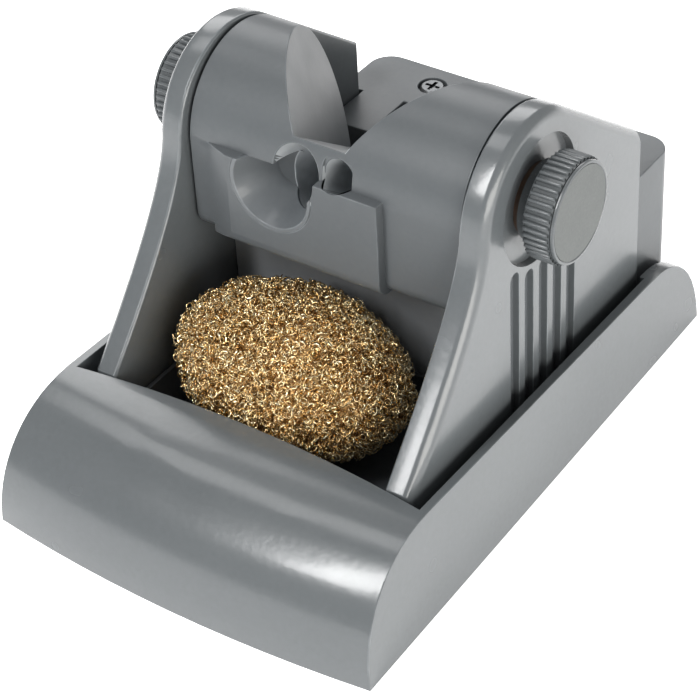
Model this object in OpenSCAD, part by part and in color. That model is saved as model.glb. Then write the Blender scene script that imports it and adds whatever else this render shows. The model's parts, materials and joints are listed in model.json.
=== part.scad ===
// Bench stand for a soldering iron: tilting cradle, brass wool cleaner, heavy base.
// Millimetres. X to the right, Y to the back, Z up. Origin under the middle of the base.

/* [Base] */
// Width of the base at the table
base_w = 117; // [100:1:140]
// Depth of the base, front bow to rear edge
base_d = 175.4; // [150:0.2:200]
// Height of the front lip
lip_h = 32.6; // [24:0.1:44]
// Height of the rear roll
rear_h = 28.4; // [22:0.1:40]
// Forward bow of the front edge at the middle
front_bow = 3.8; // [0:0.1:8]
// Inward lean of each side wall at the top
side_draft = 2.4; // [0:0.1:4]
// Thickness of the base casting walls
wall_t = 2.8; // [2:0.1:5]

/* [Cheeks] */
// Inner face of each cheek from the middle
cheek_in = 42.3; // [36:0.1:46]
// Outer face of each cheek from the middle
cheek_out = 50; // [46:0.1:53]
// Radius of the cheek's round head
cheek_r = 25.1; // [22:0.1:30]
// Number of flutes below each knob
flute_n = 5; // [3:1:7]
// Distance between flutes
flute_pitch = 7.1; // [5:0.05:9]

/* [Cradle] */
// Height of the tilt axis
axis_z = 84.3; // [70:0.1:95]
// Distance of the tilt axis behind the middle
axis_y = 11; // [0:0.1:20]
// Radius of the cradle drum
drum_r = 23.8; // [20:0.1:27]
// Radius of the funnel's mouth in front of the socket
mouth_r = 11.5; // [9:0.1:12.5]
// Radius of the socket bore for the iron's barrel
socket_r = 7; // [5:0.1:7.5]
// Dip of the socket below level, degrees
socket_dip = 37; // [30:1:45]

/* [Knobs] */
// Radius of each clamp knob over its knurl
knob_r = 14.4; // [10:0.1:17]
// Outer face of each knob from the middle
knob_face = 61.5; // [56:0.1:66]
// Number of knurl ridges round a knob
knurl_n = 46; // [24:2:72]
// Radius of the threaded clamp studs
stud_r = 4; // [3:0.1:5]

/* [Brass wool] */
// Half width of the wool ball
wool_rx = 35.5; // [25:0.5:40]
// Half depth of the wool ball
wool_ry = 24.6; // [18:0.1:30]
// Half height of the wool ball
wool_rz = 23; // [15:0.1:28]

/* [View] */
// Piece to show, or all

/* [Hidden] */

// Colours
grey_main = [0.44, 0.46, 0.48];
grey_dark = [0.34, 0.36, 0.38];
steel = [0.72, 0.73, 0.75];
brass = [0.78, 0.60, 0.28];
rubber = [0.08, 0.08, 0.09];

// Base outline
y_front = -base_d / 2 + front_bow;
y_rear = base_d / 2;
front_a = 30.4;
rear_a = 25.9;
roll_pow = 0.9;
n_front = 14;
n_rear = 10;
n_side = 12;
floor_z = 7;
plate_z0 = 1.6;
plate_z1 = 3.6;

function roll_pt(t, a, b) =
  [a * pow(cos(t), roll_pow), b * pow(sin(t), roll_pow)];
function front_pt(i, inset) = let (
    t = 90 * i / n_front,
    p = roll_pt(t, front_a - inset, lip_h - inset))
  [y_front + front_a - p[0], p[1]];
function rear_pt(i, inset) = let (
    t = 90 - 90 * i / n_rear,
    p = roll_pt(t, rear_a - inset, rear_h - inset))
  [y_rear - rear_a + p[0], p[1]];
function side_half(z, inset) = base_w / 2 - inset - side_draft * z / lip_h;

// Closed body lofted from cross outlines between the two ends
module loft(outline, inset, bow) {
  n = len(outline);
  m = n_side;
  pts = [for (j = [0 : m]) for (i = [0 : n - 1]) let (
      s = -1 + 2 * j / m,
      p = outline[i],
      f = p[0] < 0 ? 1 : 0)
    [s * side_half(p[1], inset), p[0] - f * bow * (1 - s * s), p[1]]];
  tris = [for (j = [0 : m - 1]) for (i = [0 : n - 1]) let (
      k = (i + 1) % n,
      a = j * n + i,
      b = j * n + k,
      c = (j + 1) * n + k,
      d = (j + 1) * n + i)
    each [[a, b, c], [a, c, d]]];
  cap0 = [for (i = [1 : n - 2]) [0, i + 1, i]];
  cap1 = [for (i = [1 : n - 2]) [m * n, m * n + i, m * n + i + 1]];
  polyhedron(points = pts, faces = concat(tris, cap0, cap1), convexity = 4);
}

module base_outer() {
  outline = concat(
    [for (i = [0 : n_front]) front_pt(i, 0)],
    [for (i = [0 : n_rear]) rear_pt(i, 0)]);
  loft(outline, 0, front_bow);
}

// Rounded box from corner sizes, edges upright
module upright_box(x0, x1, y0, y1, z0, z1, r) {
  translate([0, 0, z0])
    linear_extrude(z1 - z0)
      hull() {
        for (x = [x0 + r, x1 - r])
          for (y = [y0 + r, y1 - r])
            translate([x, y])
              circle(r = r, $fn = 24);
      }
}

module block(x0, x1, y0, y1, z0, z1) {
  translate([x0, y0, z0])
    cube([x1 - x0, y1 - y0, z1 - z0]);
}

module xcyl(x0, x1, y, z, r, n = 96) {
  translate([x0, y, z])
    rotate([0, 90, 0])
      cylinder(r = r, h = x1 - x0, $fn = n);
}

// Well behind the lip and the open pocket at the back
well_x = 53.6;
well_y0 = -49.4;
well_y1 = 62;
rear_pocket_x = 49;
side_gap_x = 52.2;
side_gap_y1 = 81;
foot_xy = [[-42, -41], [42, -41], [-44, 72], [44, 72]];
cheek_screw_y = [-30, 4, 38];
cheek_screw_x = 46.1;

module lip_edge_cut() {
  // the lip's inner edge bows back at the middle
  translate([0, 0, floor_z])
    linear_extrude(60)
      difference() {
        translate([-well_x, well_y0 - 4.4])
          square([2 * well_x, well_y1 - well_y0 + 4.4]);
        translate([0, well_y0 - 353.4])
          circle(r = 353.4 + 0.6, $fn = 200);
      }
}

module base_tray() {
  color(grey_main)
    difference() {
      base_outer();
      lip_edge_cut();
      // pocket for the housing, open at the back, with a gap along each side
      block(-rear_pocket_x, rear_pocket_x, well_y1 - 1, 100, floor_z, 60);
      block(-side_gap_x, side_gap_x, well_y1 - 1, side_gap_y1, floor_z, 60);
      // recess for the bottom plate
      block(-54.6, 54.6, -56.2, 83.4, -1, plate_z1);
      // hollow under the front roll
      hull() {
        block(-54, 54, -79.5, -55.8, -1, 6);
        block(-53, 53, -75.5, -55.8, 5, 19);
        block(-52.5, 52.5, -68, -55.8, 5, 26.5);
        block(-52.5, 52.5, -62, -55.8, 5, 29.5);
      }
      for (p = floor_screw_xy)
        translate([p[0], p[1], -1]) {
          cylinder(r = 2, h = 20, $fn = 32);
          cylinder(r = 3.6, h = plate_z1 + 2.5, $fn = 32);
        }
      for (sx = [-1, 1])
        translate([sx * 30, shield_y + 7, -1])
          cylinder(r = 1.5, h = 20, $fn = 32);
      for (p = plate_screw_xy)
        translate([p[0], p[1], -1])
          cylinder(r = 1.5, h = 7.2, $fn = 32);
    }
}

module base_plate() {
  color(steel)
    difference() {
      upright_box(-54.2, 54.2, -55.8, 83, plate_z0, plate_z1, 3);
      for (p = plate_screw_xy)
        translate([p[0], p[1], 0])
          cylinder(r = 1.7, h = 6, $fn = 32);
      for (p = foot_xy)
        translate([p[0], p[1], 0])
          cylinder(r = 2.5, h = 6, $fn = 32);
    }
}

plate_screw_xy = [[-49, -50], [49, -50], [-50, 14], [50, 14], [-30, 78], [30, 78]];

module base_screws() {
  // pan heads under the plate, shanks up into the tray floor
  color(steel)
    for (p = plate_screw_xy)
      translate([p[0], p[1], 0])
        difference() {
          union() {
            translate([0, 0, 0.3])
              cylinder(r = 3.1, h = plate_z0 - 0.3, $fn = 32);
            translate([0, 0, plate_z0 - 0.1])
              cylinder(r = 1.5, h = 4.5, $fn = 32);
          }
          for (a = [0, 90])
            rotate([0, 0, a])
              translate([-2, -0.35, 0])
                cube([4, 0.7, 0.9]);
        }
}

module rubber_feet() {
  color(rubber)
    for (p = foot_xy)
      translate([p[0], p[1], 0]) {
        cylinder(r = 7, h = plate_z0, $fn = 48);
        translate([0, 0, plate_z0 - 0.1])
          cylinder(r = 2.5, h = plate_z1 - plate_z0 + 0.1, $fn = 32);
      }
}

// Side outline of a cheek as [y, z], drawn in by d
head_y = 9.6;
head_z = 83.9;
foot_p = [-51.1, lip_h - 0.2];
sweep_p = [-16, 71];
brow_p = [head_y - cheek_r, 87];
rear_y = 65.5;
rear_z = 73.6;
top_ang = 53;
n_sweep = 14;
n_head = 18;

function bez(t) = foot_p * (1 - t) * (1 - t) + sweep_p * 2 * t * (1 - t) + brow_p * t * t;
function bez_d(t) = (sweep_p - foot_p) * 2 * (1 - t) + (brow_p - sweep_p) * 2 * t;
function sweep_pt(i, d) = let (
    t = i / n_sweep,
    g = bez_d(t),
    p = bez(t))
  p + [g[1], -g[0]] * d / norm(g);
function cheek_outline(d) = let (e = min(d, 1)) concat(
  [[foot_p[0] + d, floor_z]],
  [for (i = [0 : n_sweep]) sweep_pt(i, d)],
  [for (i = [1 : n_head]) let (
      a = 177 - (177 - top_ang) * i / n_head)
    [head_y + (cheek_r - d) * cos(a), head_z + (cheek_r - d) * sin(a)]],
  [[rear_y - e, rear_z - d * 0.5 - (d - e) * 0.75], [rear_y - e, floor_z]]);

module cheek_body() {
  xs = [cheek_in, cheek_in + 0.5, cheek_out - 2.6, cheek_out - 1.5,
    cheek_out - 0.6, cheek_out];
  ds = [0.5, 0, 0, 0.5, 1.5, 2.9];
  n = len(cheek_outline(0));
  m = len(xs) - 1;
  pts = [for (j = [0 : m]) for (q = cheek_outline(ds[j])) [xs[j], q[0], q[1]]];
  tris = [for (j = [0 : m - 1]) for (i = [0 : n - 1]) let (
      k = (i + 1) % n,
      a = j * n + i,
      b = j * n + k,
      c = (j + 1) * n + k,
      e = (j + 1) * n + i)
    each [[a, b, c], [a, c, e]]];
  cap0 = [[for (i = [0 : n - 1]) n - 1 - i]];
  cap1 = [[for (i = [0 : n - 1]) m * n + i]];
  polyhedron(points = pts, faces = concat(tris, cap0, cap1), convexity = 6);
}

recess_r = 17.6;
recess_d = 2.2;
flute_w = 4.1;
flute_d = 1.8;
flute_y0 = -1.5;
bush_r = 6;

module cheek() {
  difference() {
    cheek_body();
    xcyl(cheek_out - recess_d, cheek_out + 2, axis_y, axis_z, recess_r);
    xcyl(cheek_in - 1, cheek_out + 1, axis_y, axis_z, bush_r, 64);
    for (k = [0 : flute_n - 1]) {
      y = flute_y0 + flute_pitch * k;
      dy = min(abs(y - axis_y), 18);
      z = axis_z - sqrt(21.2 * 21.2 - dy * dy);
      block(cheek_out - flute_d, cheek_out + 1, y - flute_w / 2, y + flute_w / 2,
        floor_z - 1, z);
      xcyl(cheek_out - flute_d, cheek_out + 1, y, z, flute_w / 2, 32);
    }
    for (y = cheek_screw_y)
      translate([cheek_screw_x, y, floor_z - 1])
        cylinder(r = 2, h = 11.4, $fn = 32);
  }
}

module right_cheek() {
  color(grey_main)
    cheek();
}

module left_cheek() {
  color(grey_main)
    mirror([1, 0, 0])
      cheek();
}

floor_screw_xy = concat(
  [for (sx = [-1, 1]) for (y = cheek_screw_y) [sx * cheek_screw_x, y]],
  [[-18, 77], [18, 77]]);

module floor_screws() {
  // flat heads sunk in the tray floor from below
  color(steel)
    for (p = floor_screw_xy)
      translate([p[0], p[1], 0])
        difference() {
          union() {
            translate([0, 0, plate_z1])
              cylinder(r = 3.6, h = 1.5, $fn = 32);
            translate([0, 0, plate_z1])
              cylinder(r = 2, h = 13.6, $fn = 32);
          }
          for (a = [0, 90])
            rotate([0, 0, a])
              translate([-2, -0.4, plate_z1 - 0.5])
                cube([4, 0.8, 1.5]);
        }
}

// Rear housing: two front towers, a rear bridge and a notch for the iron tip
house_x = 48.7;
house_z = 57.5;
house_y1 = 87.4;
tower_x = 41.8;
tower_y0 = 48.6;
notch_x = 28;
notch_y = 67;
house_t = 2.4;
house_screw_x = 25.6;
house_screw_y = 78.4;

module house_plan(t) {
  difference() {
    union() {
      hull() {
        for (sx = [-1, 1]) {
          translate([sx * (house_x - 7), house_y1 - 7])
            circle(r = 7 - t, $fn = 48);
          translate([sx * (house_x - 1 - t), notch_y - 0.8 + t])
            square([2, 0.2], center = true);
        }
      }
      translate([-tower_x + t, tower_y0 + t])
        square([2 * (tower_x - t), 25]);
    }
    translate([-notch_x - t, tower_y0 - 5])
      square([2 * (notch_x + t), notch_y - tower_y0 + 5 + t]);
  }
}

module rear_housing() {
  color(grey_main)
    difference() {
      translate([0, 0, floor_z])
        linear_extrude(house_z - floor_z)
          house_plan(0);
      translate([0, 0, floor_z - 1])
        linear_extrude(house_z - floor_z + 1 - house_t)
          house_plan(house_t);
      for (sx = [-1, 1])
        translate([sx * house_screw_x, house_screw_y, 0]) {
          translate([0, 0, house_z - 1.6])
            cylinder(r = 4.2, h = 3, $fn = 48);
          translate([0, 0, house_z - 5])
            cylinder(r = 1.8, h = 6, $fn = 32);
        }
    }
}

module housing_screws() {
  color(steel)
    for (sx = [-1, 1])
      translate([sx * house_screw_x, house_screw_y, 0])
        difference() {
          union() {
            translate([0, 0, house_z - 1.6])
              cylinder(r = 3.7, h = 1.5, $fn = 48);
            translate([0, 0, house_z - 13])
              cylinder(r = 1.5, h = 12, $fn = 32);
          }
          for (a = [0, 90])
            rotate([0, 0, a])
              translate([-2.5, -0.55, house_z - 1.2])
                cube([5, 1.1, 3]);
        }
}

module ballast_block() {
  color(grey_dark)
    difference() {
      block(-32, 32, notch_y + house_t + 0.6, house_y1 - house_t - 0.6, floor_z,
        house_z - house_t - 0.1);
      for (sx = [-1, 1]) {
        translate([sx * house_screw_x, house_screw_y, house_z - 14])
          cylinder(r = 1.5, h = 20, $fn = 32);
        translate([sx * 18, 77, 0])
          cylinder(r = 2, h = 17.4, $fn = 32);
      }
    }
}

shield_y = 2.4;
shield_top = 48;
shield_t = 1.4;

module splash_shield() {
  color(grey_dark)
    difference() {
      union() {
        block(-42, 42, shield_y, shield_y + shield_t, floor_z, shield_top);
        block(-42, 42, shield_y, shield_y + 12, floor_z, floor_z + shield_t);
      }
      for (sx = [-1, 1])
        translate([sx * 30, shield_y + 7, 0])
          cylinder(r = 1.7, h = 20, $fn = 32);
    }
}

module shield_screws() {
  color(steel)
    for (sx = [-1, 1])
      translate([sx * 30, shield_y + 7, 0])
        difference() {
          union() {
            translate([0, 0, floor_z + shield_t])
              cylinder(r = 3, h = 1.8, $fn = 32);
            translate([0, 0, 4.2])
              cylinder(r = 1.5, h = floor_z + shield_t - 4.1, $fn = 32);
          }
          for (a = [0, 90])
            rotate([0, 0, a])
              translate([-2, -0.35, floor_z + shield_t + 0.9])
                cube([4, 0.7, 1.5]);
        }
}

tray_x = 41.5;
tray_y0 = -47.6;
tray_y1 = 1.6;
tray_top = 22;
tray_t = 1.2;
tray_z = floor_z + 0.1;

module wool_tray() {
  color(grey_dark) {
    difference() {
      upright_box(-tray_x, tray_x, tray_y0, tray_y1, tray_z, tray_top, 4);
      upright_box(-tray_x + tray_t, tray_x - tray_t, tray_y0 + tray_t,
        tray_y1 - tray_t, tray_z + tray_t, tray_top + 1, 3);
    }
    // finger tab beside the right cheek
    block(tray_x - tray_t, tray_x, -30, -22, tray_z + 4, 33);
  }
}

wool_x = -5;
wool_y = -23.3;
wool_z = 31;

module brass_wool() {
  color(brass)
    intersection() {
      translate([wool_x, wool_y, wool_z])
        scale([wool_rx, wool_ry, wool_rz])
          sphere(r = 1, $fn = 48);
      block(-60, 60, -60, 60, tray_z + tray_t, 80);
    }
}

// Cradle: u is measured back from the tilt axis and w up from it
drum_x = 41.3;
slot_x0 = -1.7;
slot_half = 14.8;
slot_ky = 0.522;
slot_kz = 0.353;
slot_slope = tan(socket_dip);
slot_w0 = -4.67;
slot_u0 = -30;
slot_u1 = 42;
slot_top = 34;
front_u = -26.6;
boss_x0 = -28;
boss_x1 = 18.6;
boss_blend = 8;
ledge_w = 2.2;
apron_w = -26.8;
apron_u1 = -8;
apron_r = 5;
socket_x = -7.6;
socket_u = -24.6;
socket_w = 3.1;
socket_rise = 1.6;
mouth_x = -14.2;
mouth_w = -3.7;
mouth_depth = 12;
throat_r = 6;
arch_x = 4.8;
arch_r = 4.5;
arch_w = 6.1;
arch_depth = 6.6;
arch_hole = 24;

// Half width of the flared slot at u and w
function slot_hw(u, w) = slot_half + slot_ky * u + slot_kz * w;
function slot_low(u) = slot_w0 - slot_slope * u;

module slot_cut() {
  // wedge that widens to the back and to the top
  pts = [for (u = [slot_u0, slot_u1]) each [
      [slot_x0 - slot_hw(u, slot_low(u)), axis_y + u, axis_z + slot_low(u)],
      [slot_x0 + slot_hw(u, slot_low(u)), axis_y + u, axis_z + slot_low(u)],
      [slot_x0 + slot_hw(u, slot_top), axis_y + u, axis_z + slot_top],
      [slot_x0 - slot_hw(u, slot_top), axis_y + u, axis_z + slot_top]]];
  polyhedron(points = pts, faces = [[3, 2, 1, 0], [4, 5, 6, 7], [0, 1, 5, 4],
      [1, 2, 6, 5], [2, 3, 7, 6], [3, 0, 4, 7]]);
}

// Bore along the socket's axis, raised square to it by rise
module socket_bore(rise) {
  translate([socket_x, axis_y + socket_u, axis_z + socket_w])
    rotate([-90 - socket_dip, 0, 0])
      translate([0, rise, -20])
        cylinder(r = socket_r, h = 90, $fn = 96);
}

// Funnel in front of the socket, under the ledge, wider by grow
module funnel(grow) {
  slope = (mouth_r - throat_r) / mouth_depth;
  intersection() {
    translate([mouth_x, axis_y + front_u - 4, axis_z + mouth_w])
      rotate([-90, 0, 0])
        cylinder(r1 = mouth_r + grow + 4 * slope, r2 = throat_r + grow,
          h = mouth_depth + 4, $fn = 96);
    block(-60, 60, axis_y + front_u - 5, axis_y + 10, axis_z - 40, axis_z + ledge_w);
  }
}

module arch_pocket() {
  // upright mouth over the ledge, then a blind hole beside the socket
  y0 = axis_y + front_u - 2;
  block(arch_x - arch_r, arch_x + arch_r, y0, y0 + arch_depth, axis_z + ledge_w,
    axis_z + arch_w);
  translate([arch_x, y0, axis_z + arch_w])
    rotate([-90, 0, 0])
      cylinder(r = arch_r, h = arch_depth, $fn = 48);
  translate([arch_x, y0 + arch_depth - 3, axis_z + arch_w])
    rotate([-90 - socket_dip, 0, 0])
      cylinder(r = arch_r, h = arch_hole, $fn = 48);
}

// Flat front below the drum, and the boss that stands a little proud of it
module apron() {
  y0 = axis_y - drum_r;
  y1 = axis_y + apron_u1;
  z0 = axis_z + apron_w;
  block(-drum_x, drum_x, y0, y1, z0 + apron_r, axis_z);
  block(-drum_x, drum_x, y0 + apron_r, y1, z0, z0 + apron_r + 1);
  xcyl(-drum_x, drum_x, y0 + apron_r, z0 + apron_r, apron_r);
  difference() {
    translate([0, 0, z0])
      linear_extrude(ledge_w - apron_w)
        polygon([[boss_x0 - boss_blend, y0 + 0.2], [boss_x0, axis_y + front_u],
            [boss_x1, axis_y + front_u], [boss_x1, y0 + apron_r + 3],
            [boss_x0 - boss_blend, y0 + apron_r + 3]]);
    difference() {
      block(-drum_x, drum_x, axis_y + front_u - 1, axis_y + front_u + apron_r,
        z0 - 1, z0 + apron_r);
      xcyl(-drum_x - 1, drum_x + 1, axis_y + front_u + apron_r, z0 + apron_r, apron_r);
    }
  }
}

module cradle_solid() {
  difference() {
    union() {
      xcyl(-drum_x, drum_x, axis_y, axis_z, drum_r, 128);
      apron();
    }
    slot_cut();
    arch_pocket();
    socket_bore(0);
    socket_bore(socket_rise);
  }
}

liner_t = 1.1;

module cradle_drum() {
  color(grey_main)
    difference() {
      cradle_solid();
      funnel(liner_t);
      for (sx = [-1, 1])
        mirror([sx < 0 ? 1 : 0, 0, 0]) {
          xcyl(36, 42, axis_y, axis_z, 20.4);
          xcyl(27, 42, axis_y, axis_z, stud_r, 64);
        }
    }
}

module socket_liner() {
  color(grey_dark)
    intersection() {
      cradle_solid();
      difference() {
        funnel(liner_t);
        funnel(0);
      }
    }
}

module end_discs() {
  color(steel)
    for (sx = [0, 1])
      mirror([sx, 0, 0])
        difference() {
          xcyl(drum_x - 1.6, drum_x - 0.1, axis_y, axis_z, 20.4);
          xcyl(drum_x - 3, drum_x + 1, axis_y, axis_z, stud_r, 64);
        }
}

module clamp_studs() {
  color(steel)
    for (sx = [0, 1])
      mirror([sx, 0, 0])
        xcyl(27.5, 59.6, axis_y, axis_z, stud_r, 64);
}

module bush() {
  difference() {
    xcyl(cheek_in, cheek_out - recess_d, axis_y, axis_z, bush_r, 64);
    xcyl(cheek_in - 1, cheek_out, axis_y, axis_z, stud_r + 0.05, 64);
  }
}

module right_bush() {
  color(brass)
    bush();
}

module left_bush() {
  color(brass)
    mirror([1, 0, 0])
      bush();
}

module friction_washers() {
  color(rubber)
    for (sx = [0, 1])
      mirror([sx, 0, 0])
        difference() {
          xcyl(cheek_out - recess_d, cheek_out - 0.8, axis_y, axis_z, 9.5, 64);
          xcyl(cheek_out - 4, cheek_out + 1, axis_y, axis_z, stud_r + 0.3, 64);
        }
}

knob_hub_x = cheek_out - 0.4;
knob_back = 52.7;
insert_r = 6.5;
cap_r = 12.7;

module knob() {
  difference() {
    union() {
      xcyl(knob_hub_x, knob_back + 0.1, axis_y, axis_z, 11, 64);
      translate([knob_back, axis_y, axis_z])
        rotate([0, 90, 0])
          linear_extrude(knob_face - knob_back - 0.4)
            polygon([for (i = [0 : 2 * knurl_n - 1]) let (
                a = 180 * i / knurl_n,
                r = knob_r - (i % 2) * 0.75)
              [r * cos(a), r * sin(a)]]);
      xcyl(knob_face - 0.5, knob_face, axis_y, axis_z, 13.5, 96);
    }
    xcyl(knob_hub_x - 1, 60.2, axis_y, axis_z, insert_r, 64);
    xcyl(60.1, knob_face + 1, axis_y, axis_z, cap_r, 96);
  }
}

module knob_insert() {
  difference() {
    xcyl(knob_hub_x, 60.1, axis_y, axis_z, insert_r, 64);
    xcyl(knob_hub_x - 1, 60.15, axis_y, axis_z, stud_r + 0.05, 64);
  }
}

module knob_cap() {
  xcyl(60.2, knob_face - 0.1, axis_y, axis_z, cap_r, 96);
}

module right_knob() {
  color(grey_dark)
    knob();
}

module left_knob() {
  color(grey_dark)
    mirror([1, 0, 0])
      knob();
}

module right_knob_insert() {
  color(brass)
    knob_insert();
}

module left_knob_insert() {
  color(brass)
    mirror([1, 0, 0])
      knob_insert();
}

module right_knob_cap() {
  color(grey_main)
    knob_cap();
}

module left_knob_cap() {
  color(grey_main)
    mirror([1, 0, 0])
      knob_cap();
}

base_tray();
base_plate();
rubber_feet();
base_screws();
left_cheek();
right_cheek();
floor_screws();
rear_housing();
housing_screws();
ballast_block();
splash_shield();
shield_screws();
wool_tray();
brass_wool();
cradle_drum();
socket_liner();
end_discs();
clamp_studs();
left_bush();
right_bush();
friction_washers();
left_knob();
right_knob();
left_knob_insert();
right_knob_insert();
left_knob_cap();
right_knob_cap();
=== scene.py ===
# %% [markdown]
# # A bench stand for a soldering iron
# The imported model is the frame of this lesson. Every casting, stud, screw and
# joint is already in its place, in metres, with X to the right, Y to the back
# and Z up. What is missing is what the eye enjoys: soft edges on the castings,
# a grey enamel with a slight orange peel, knurled knobs and a ball of brass
# shavings. We start by loading the frame and keeping its box, because nothing
# that we make may be bigger than that.

# %% Load the frame
import bmesh
import bpy
import json
import math
import numpy as np
from mathutils import Matrix, Vector, noise

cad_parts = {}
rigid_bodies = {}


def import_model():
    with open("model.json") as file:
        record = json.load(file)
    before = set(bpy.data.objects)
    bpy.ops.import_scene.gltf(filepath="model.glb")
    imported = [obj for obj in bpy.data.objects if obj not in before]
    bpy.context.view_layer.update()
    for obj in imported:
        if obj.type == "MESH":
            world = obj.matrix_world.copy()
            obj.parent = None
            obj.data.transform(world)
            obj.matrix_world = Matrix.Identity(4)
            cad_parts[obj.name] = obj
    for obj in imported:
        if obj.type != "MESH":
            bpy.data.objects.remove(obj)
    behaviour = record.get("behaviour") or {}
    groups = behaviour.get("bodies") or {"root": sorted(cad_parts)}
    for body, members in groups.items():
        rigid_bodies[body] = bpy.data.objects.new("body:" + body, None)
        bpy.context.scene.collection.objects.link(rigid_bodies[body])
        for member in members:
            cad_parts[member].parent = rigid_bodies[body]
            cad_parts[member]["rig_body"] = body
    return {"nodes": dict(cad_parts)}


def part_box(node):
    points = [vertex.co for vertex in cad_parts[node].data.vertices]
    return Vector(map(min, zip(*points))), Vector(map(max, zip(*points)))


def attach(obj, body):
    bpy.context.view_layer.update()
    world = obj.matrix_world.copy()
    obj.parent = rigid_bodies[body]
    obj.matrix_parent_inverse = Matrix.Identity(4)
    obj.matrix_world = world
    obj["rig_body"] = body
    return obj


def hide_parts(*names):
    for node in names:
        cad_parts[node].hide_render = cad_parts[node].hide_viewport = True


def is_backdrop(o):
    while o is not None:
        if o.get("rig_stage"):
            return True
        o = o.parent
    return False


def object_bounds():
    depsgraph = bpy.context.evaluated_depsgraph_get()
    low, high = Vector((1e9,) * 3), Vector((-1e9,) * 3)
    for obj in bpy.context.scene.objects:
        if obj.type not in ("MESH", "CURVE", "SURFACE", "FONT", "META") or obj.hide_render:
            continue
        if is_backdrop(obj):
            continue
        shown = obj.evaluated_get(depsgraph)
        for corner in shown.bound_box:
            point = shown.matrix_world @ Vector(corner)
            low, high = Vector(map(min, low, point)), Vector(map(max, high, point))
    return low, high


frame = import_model()
cad_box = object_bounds()
scene = bpy.context.scene
MM = 0.001

# %% [markdown]
# ## The camera
# A product picture of a small object is taken from about sixty centimetres,
# a third of the way round to the right and a third of the way up. The camera
# could be turned with Euler angles, but a small roll is easier to read when we
# build its three axes ourselves: back, right and up. They become the columns
# of its matrix.

# %% Camera
AZIMUTH = math.radians(33.71)
ELEVATION = math.radians(35.76)
ROLL = math.radians(-1.85)
AIM = Vector((0.0, 0.0348, 0.0400))
DISTANCE = 0.62683
FOCAL_IN_WIDTHS = 3.2312
SHIFT = (-0.1105, -0.1628)

back = Vector((math.sin(AZIMUTH) * math.cos(ELEVATION),
               -math.cos(AZIMUTH) * math.cos(ELEVATION), math.sin(ELEVATION)))
side = Vector((math.cos(AZIMUTH), math.sin(AZIMUTH), 0.0))
over = back.cross(side)
right = math.cos(ROLL) * side + math.sin(ROLL) * over
up = -math.sin(ROLL) * side + math.cos(ROLL) * over
camera_data = bpy.data.cameras.new("bench_camera")
camera_data.sensor_width = 36.0
camera_data.lens = FOCAL_IN_WIDTHS * camera_data.sensor_width
camera_data.shift_x, camera_data.shift_y = SHIFT
camera_data.clip_start = 0.01
camera = bpy.data.objects.new("bench_camera", camera_data)
turn = Matrix((right, up, back)).transposed().to_4x4()
camera.matrix_world = Matrix.Translation(AIM + back * DISTANCE) @ turn
scene.collection.objects.link(camera)
scene.camera = camera
print("camera at", [round(x, 3) for x in camera.matrix_world.translation])

# %% [markdown]
# ## A small kit for finishes
# Every finish below is a tree of the same few nodes: a noise read in Object
# coordinates, a ramp that turns it into tones, a range that turns it into a
# roughness, a bump, and a mix that lays one tone over another. Each could be
# added by hand in the shader editor. Written as helpers, they keep each finish
# down to the numbers that matter: its scales in metres and its tones.

# %% Finish helpers
def new_finish(name, **values):
    """A material with a Principled shader, with plain values on its sockets."""
    material = bpy.data.materials.new(name)
    material.use_nodes = True
    tree = material.node_tree
    shader = tree.nodes["Principled BSDF"]
    for socket, value in values.items():
        shader.inputs[socket.replace("_", " ")].default_value = value
    return material, tree, shader


# %% Noise
def noise_of(tree, size, detail=2.0, stretch=(1, 1, 1), rough=0.5):
    """Noise whose features are about size metres across, along Object coordinates."""
    place = tree.nodes.new("ShaderNodeTexCoord")
    mapping = tree.nodes.new("ShaderNodeMapping")
    mapping.inputs["Scale"].default_value = stretch
    texture = tree.nodes.new("ShaderNodeTexNoise")
    texture.inputs["Scale"].default_value = 1.0 / size
    texture.inputs["Detail"].default_value = detail
    texture.inputs["Roughness"].default_value = rough
    tree.links.new(place.outputs["Object"], mapping.inputs["Vector"])
    tree.links.new(mapping.outputs["Vector"], texture.inputs["Vector"])
    return texture.outputs["Fac"]


# %% Noise to colour, and noise to a number
def tones(tree, value, *stops):
    """A ramp through (place, colour) stops."""
    ramp = tree.nodes.new("ShaderNodeValToRGB")
    bar = ramp.color_ramp.elements
    while len(bar) < len(stops):
        bar.new(0.5)
    for element, (place, color) in zip(bar, stops):
        element.position = place
        element.color = (*color, 1.0)
    tree.links.new(value, ramp.inputs["Fac"])
    return ramp.outputs["Color"]


def between(tree, value, low, high, start=0.3, end=0.7):
    """The middle of a noise's swing, spread from low to high."""
    spread = tree.nodes.new("ShaderNodeMapRange")
    spread.inputs["From Min"].default_value = start
    spread.inputs["From Max"].default_value = end
    spread.inputs["To Min"].default_value = low
    spread.inputs["To Max"].default_value = high
    tree.links.new(value, spread.inputs["Value"])
    return spread.outputs["Result"]


# %% Relief, and one colour over another
def relief(tree, shader, value, height):
    """A bump of that height in metres."""
    bump = tree.nodes.new("ShaderNodeBump")
    bump.inputs["Distance"].default_value = height
    tree.links.new(value, bump.inputs["Height"])
    tree.links.new(bump.outputs["Normal"], shader.inputs["Normal"])


def lay_over(tree, share, below, above):
    """Colour below, with colour above where share is 1."""
    mix = tree.nodes.new("ShaderNodeMix")
    mix.data_type = "RGBA"
    tree.links.new(share, mix.inputs[0])
    tree.links.new(below, mix.inputs[6])
    tree.links.new(above, mix.inputs[7])
    return mix.outputs[2]


def attribute_of(tree, name):
    """A number stored on the faces of the mesh."""
    stored = tree.nodes.new("ShaderNodeAttribute")
    stored.attribute_name = name
    return stored.outputs["Fac"]


print("finish helpers ready")


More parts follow.
